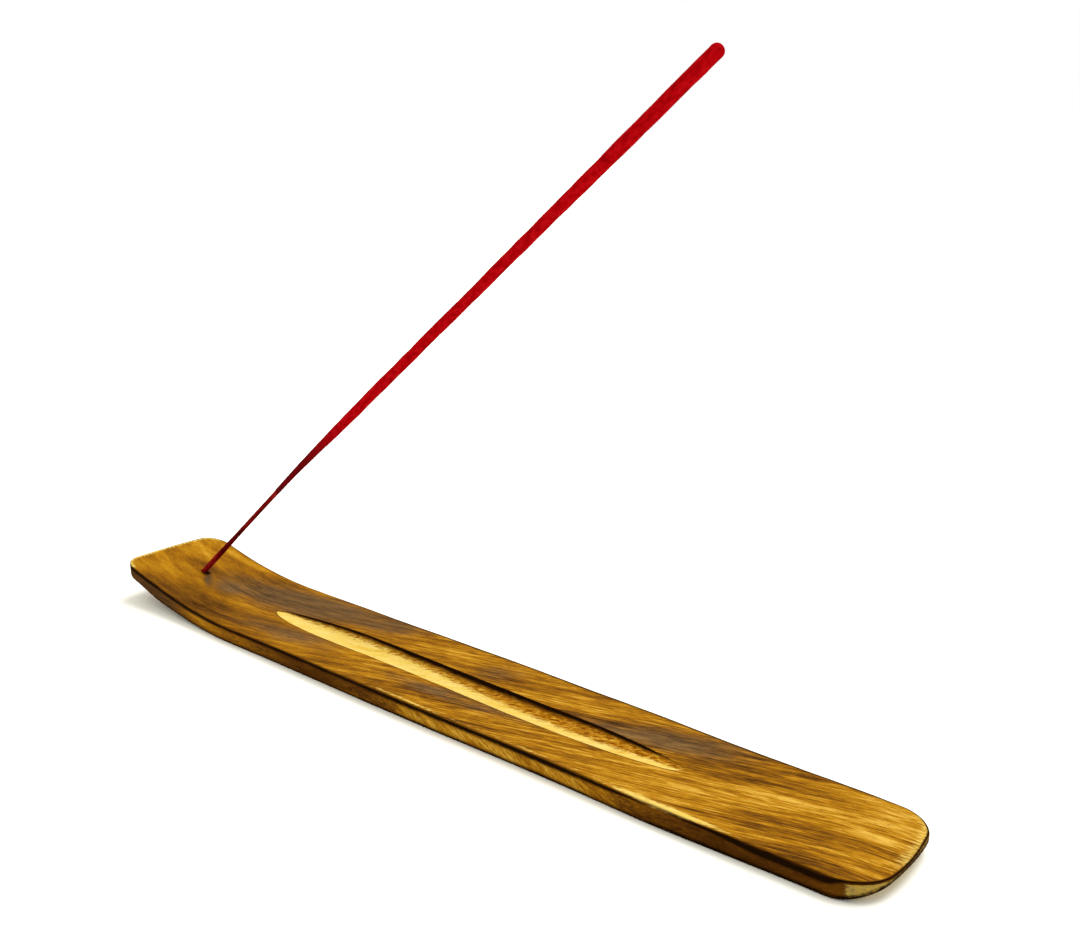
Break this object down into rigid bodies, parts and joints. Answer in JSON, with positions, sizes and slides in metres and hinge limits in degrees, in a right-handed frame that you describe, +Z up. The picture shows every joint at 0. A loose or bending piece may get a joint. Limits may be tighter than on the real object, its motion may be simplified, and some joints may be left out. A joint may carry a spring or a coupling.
{
  "type": "incense burner",
  "caption": "Flat wooden incense holder with one upswept end, a long ash trough and a slanted hole that holds a leaning stick over it.",
  "frame": {"origin": "on the table, under the middle of the whole part's box, which is the middle of the tray", "axes": "+X along the tray from its upswept end to its flat end, +Z up, +Y across the tray"},
  "size_m": [0.254, 0.036, 0.1597],
  "materials": {
    "torched_wood": "torched, brushed and left matt",
    "dyed_bamboo": "split bamboo dyed dark red",
    "incense_paste": "matt rolled wood powder dyed red"
  },
  "bodies": {
    "tray": {"tray": "torched_wood"},
    "stick": {"bamboo_splint": "dyed_bamboo", "incense_paste": "incense_paste"}
  },
  "joints": [
    {"name": "stick_lift", "type": "slide", "parent": "tray", "child": "stick", "axis": [0.7749, 0, 0.632], "range_m": [0, 0.03]}
  ]
}
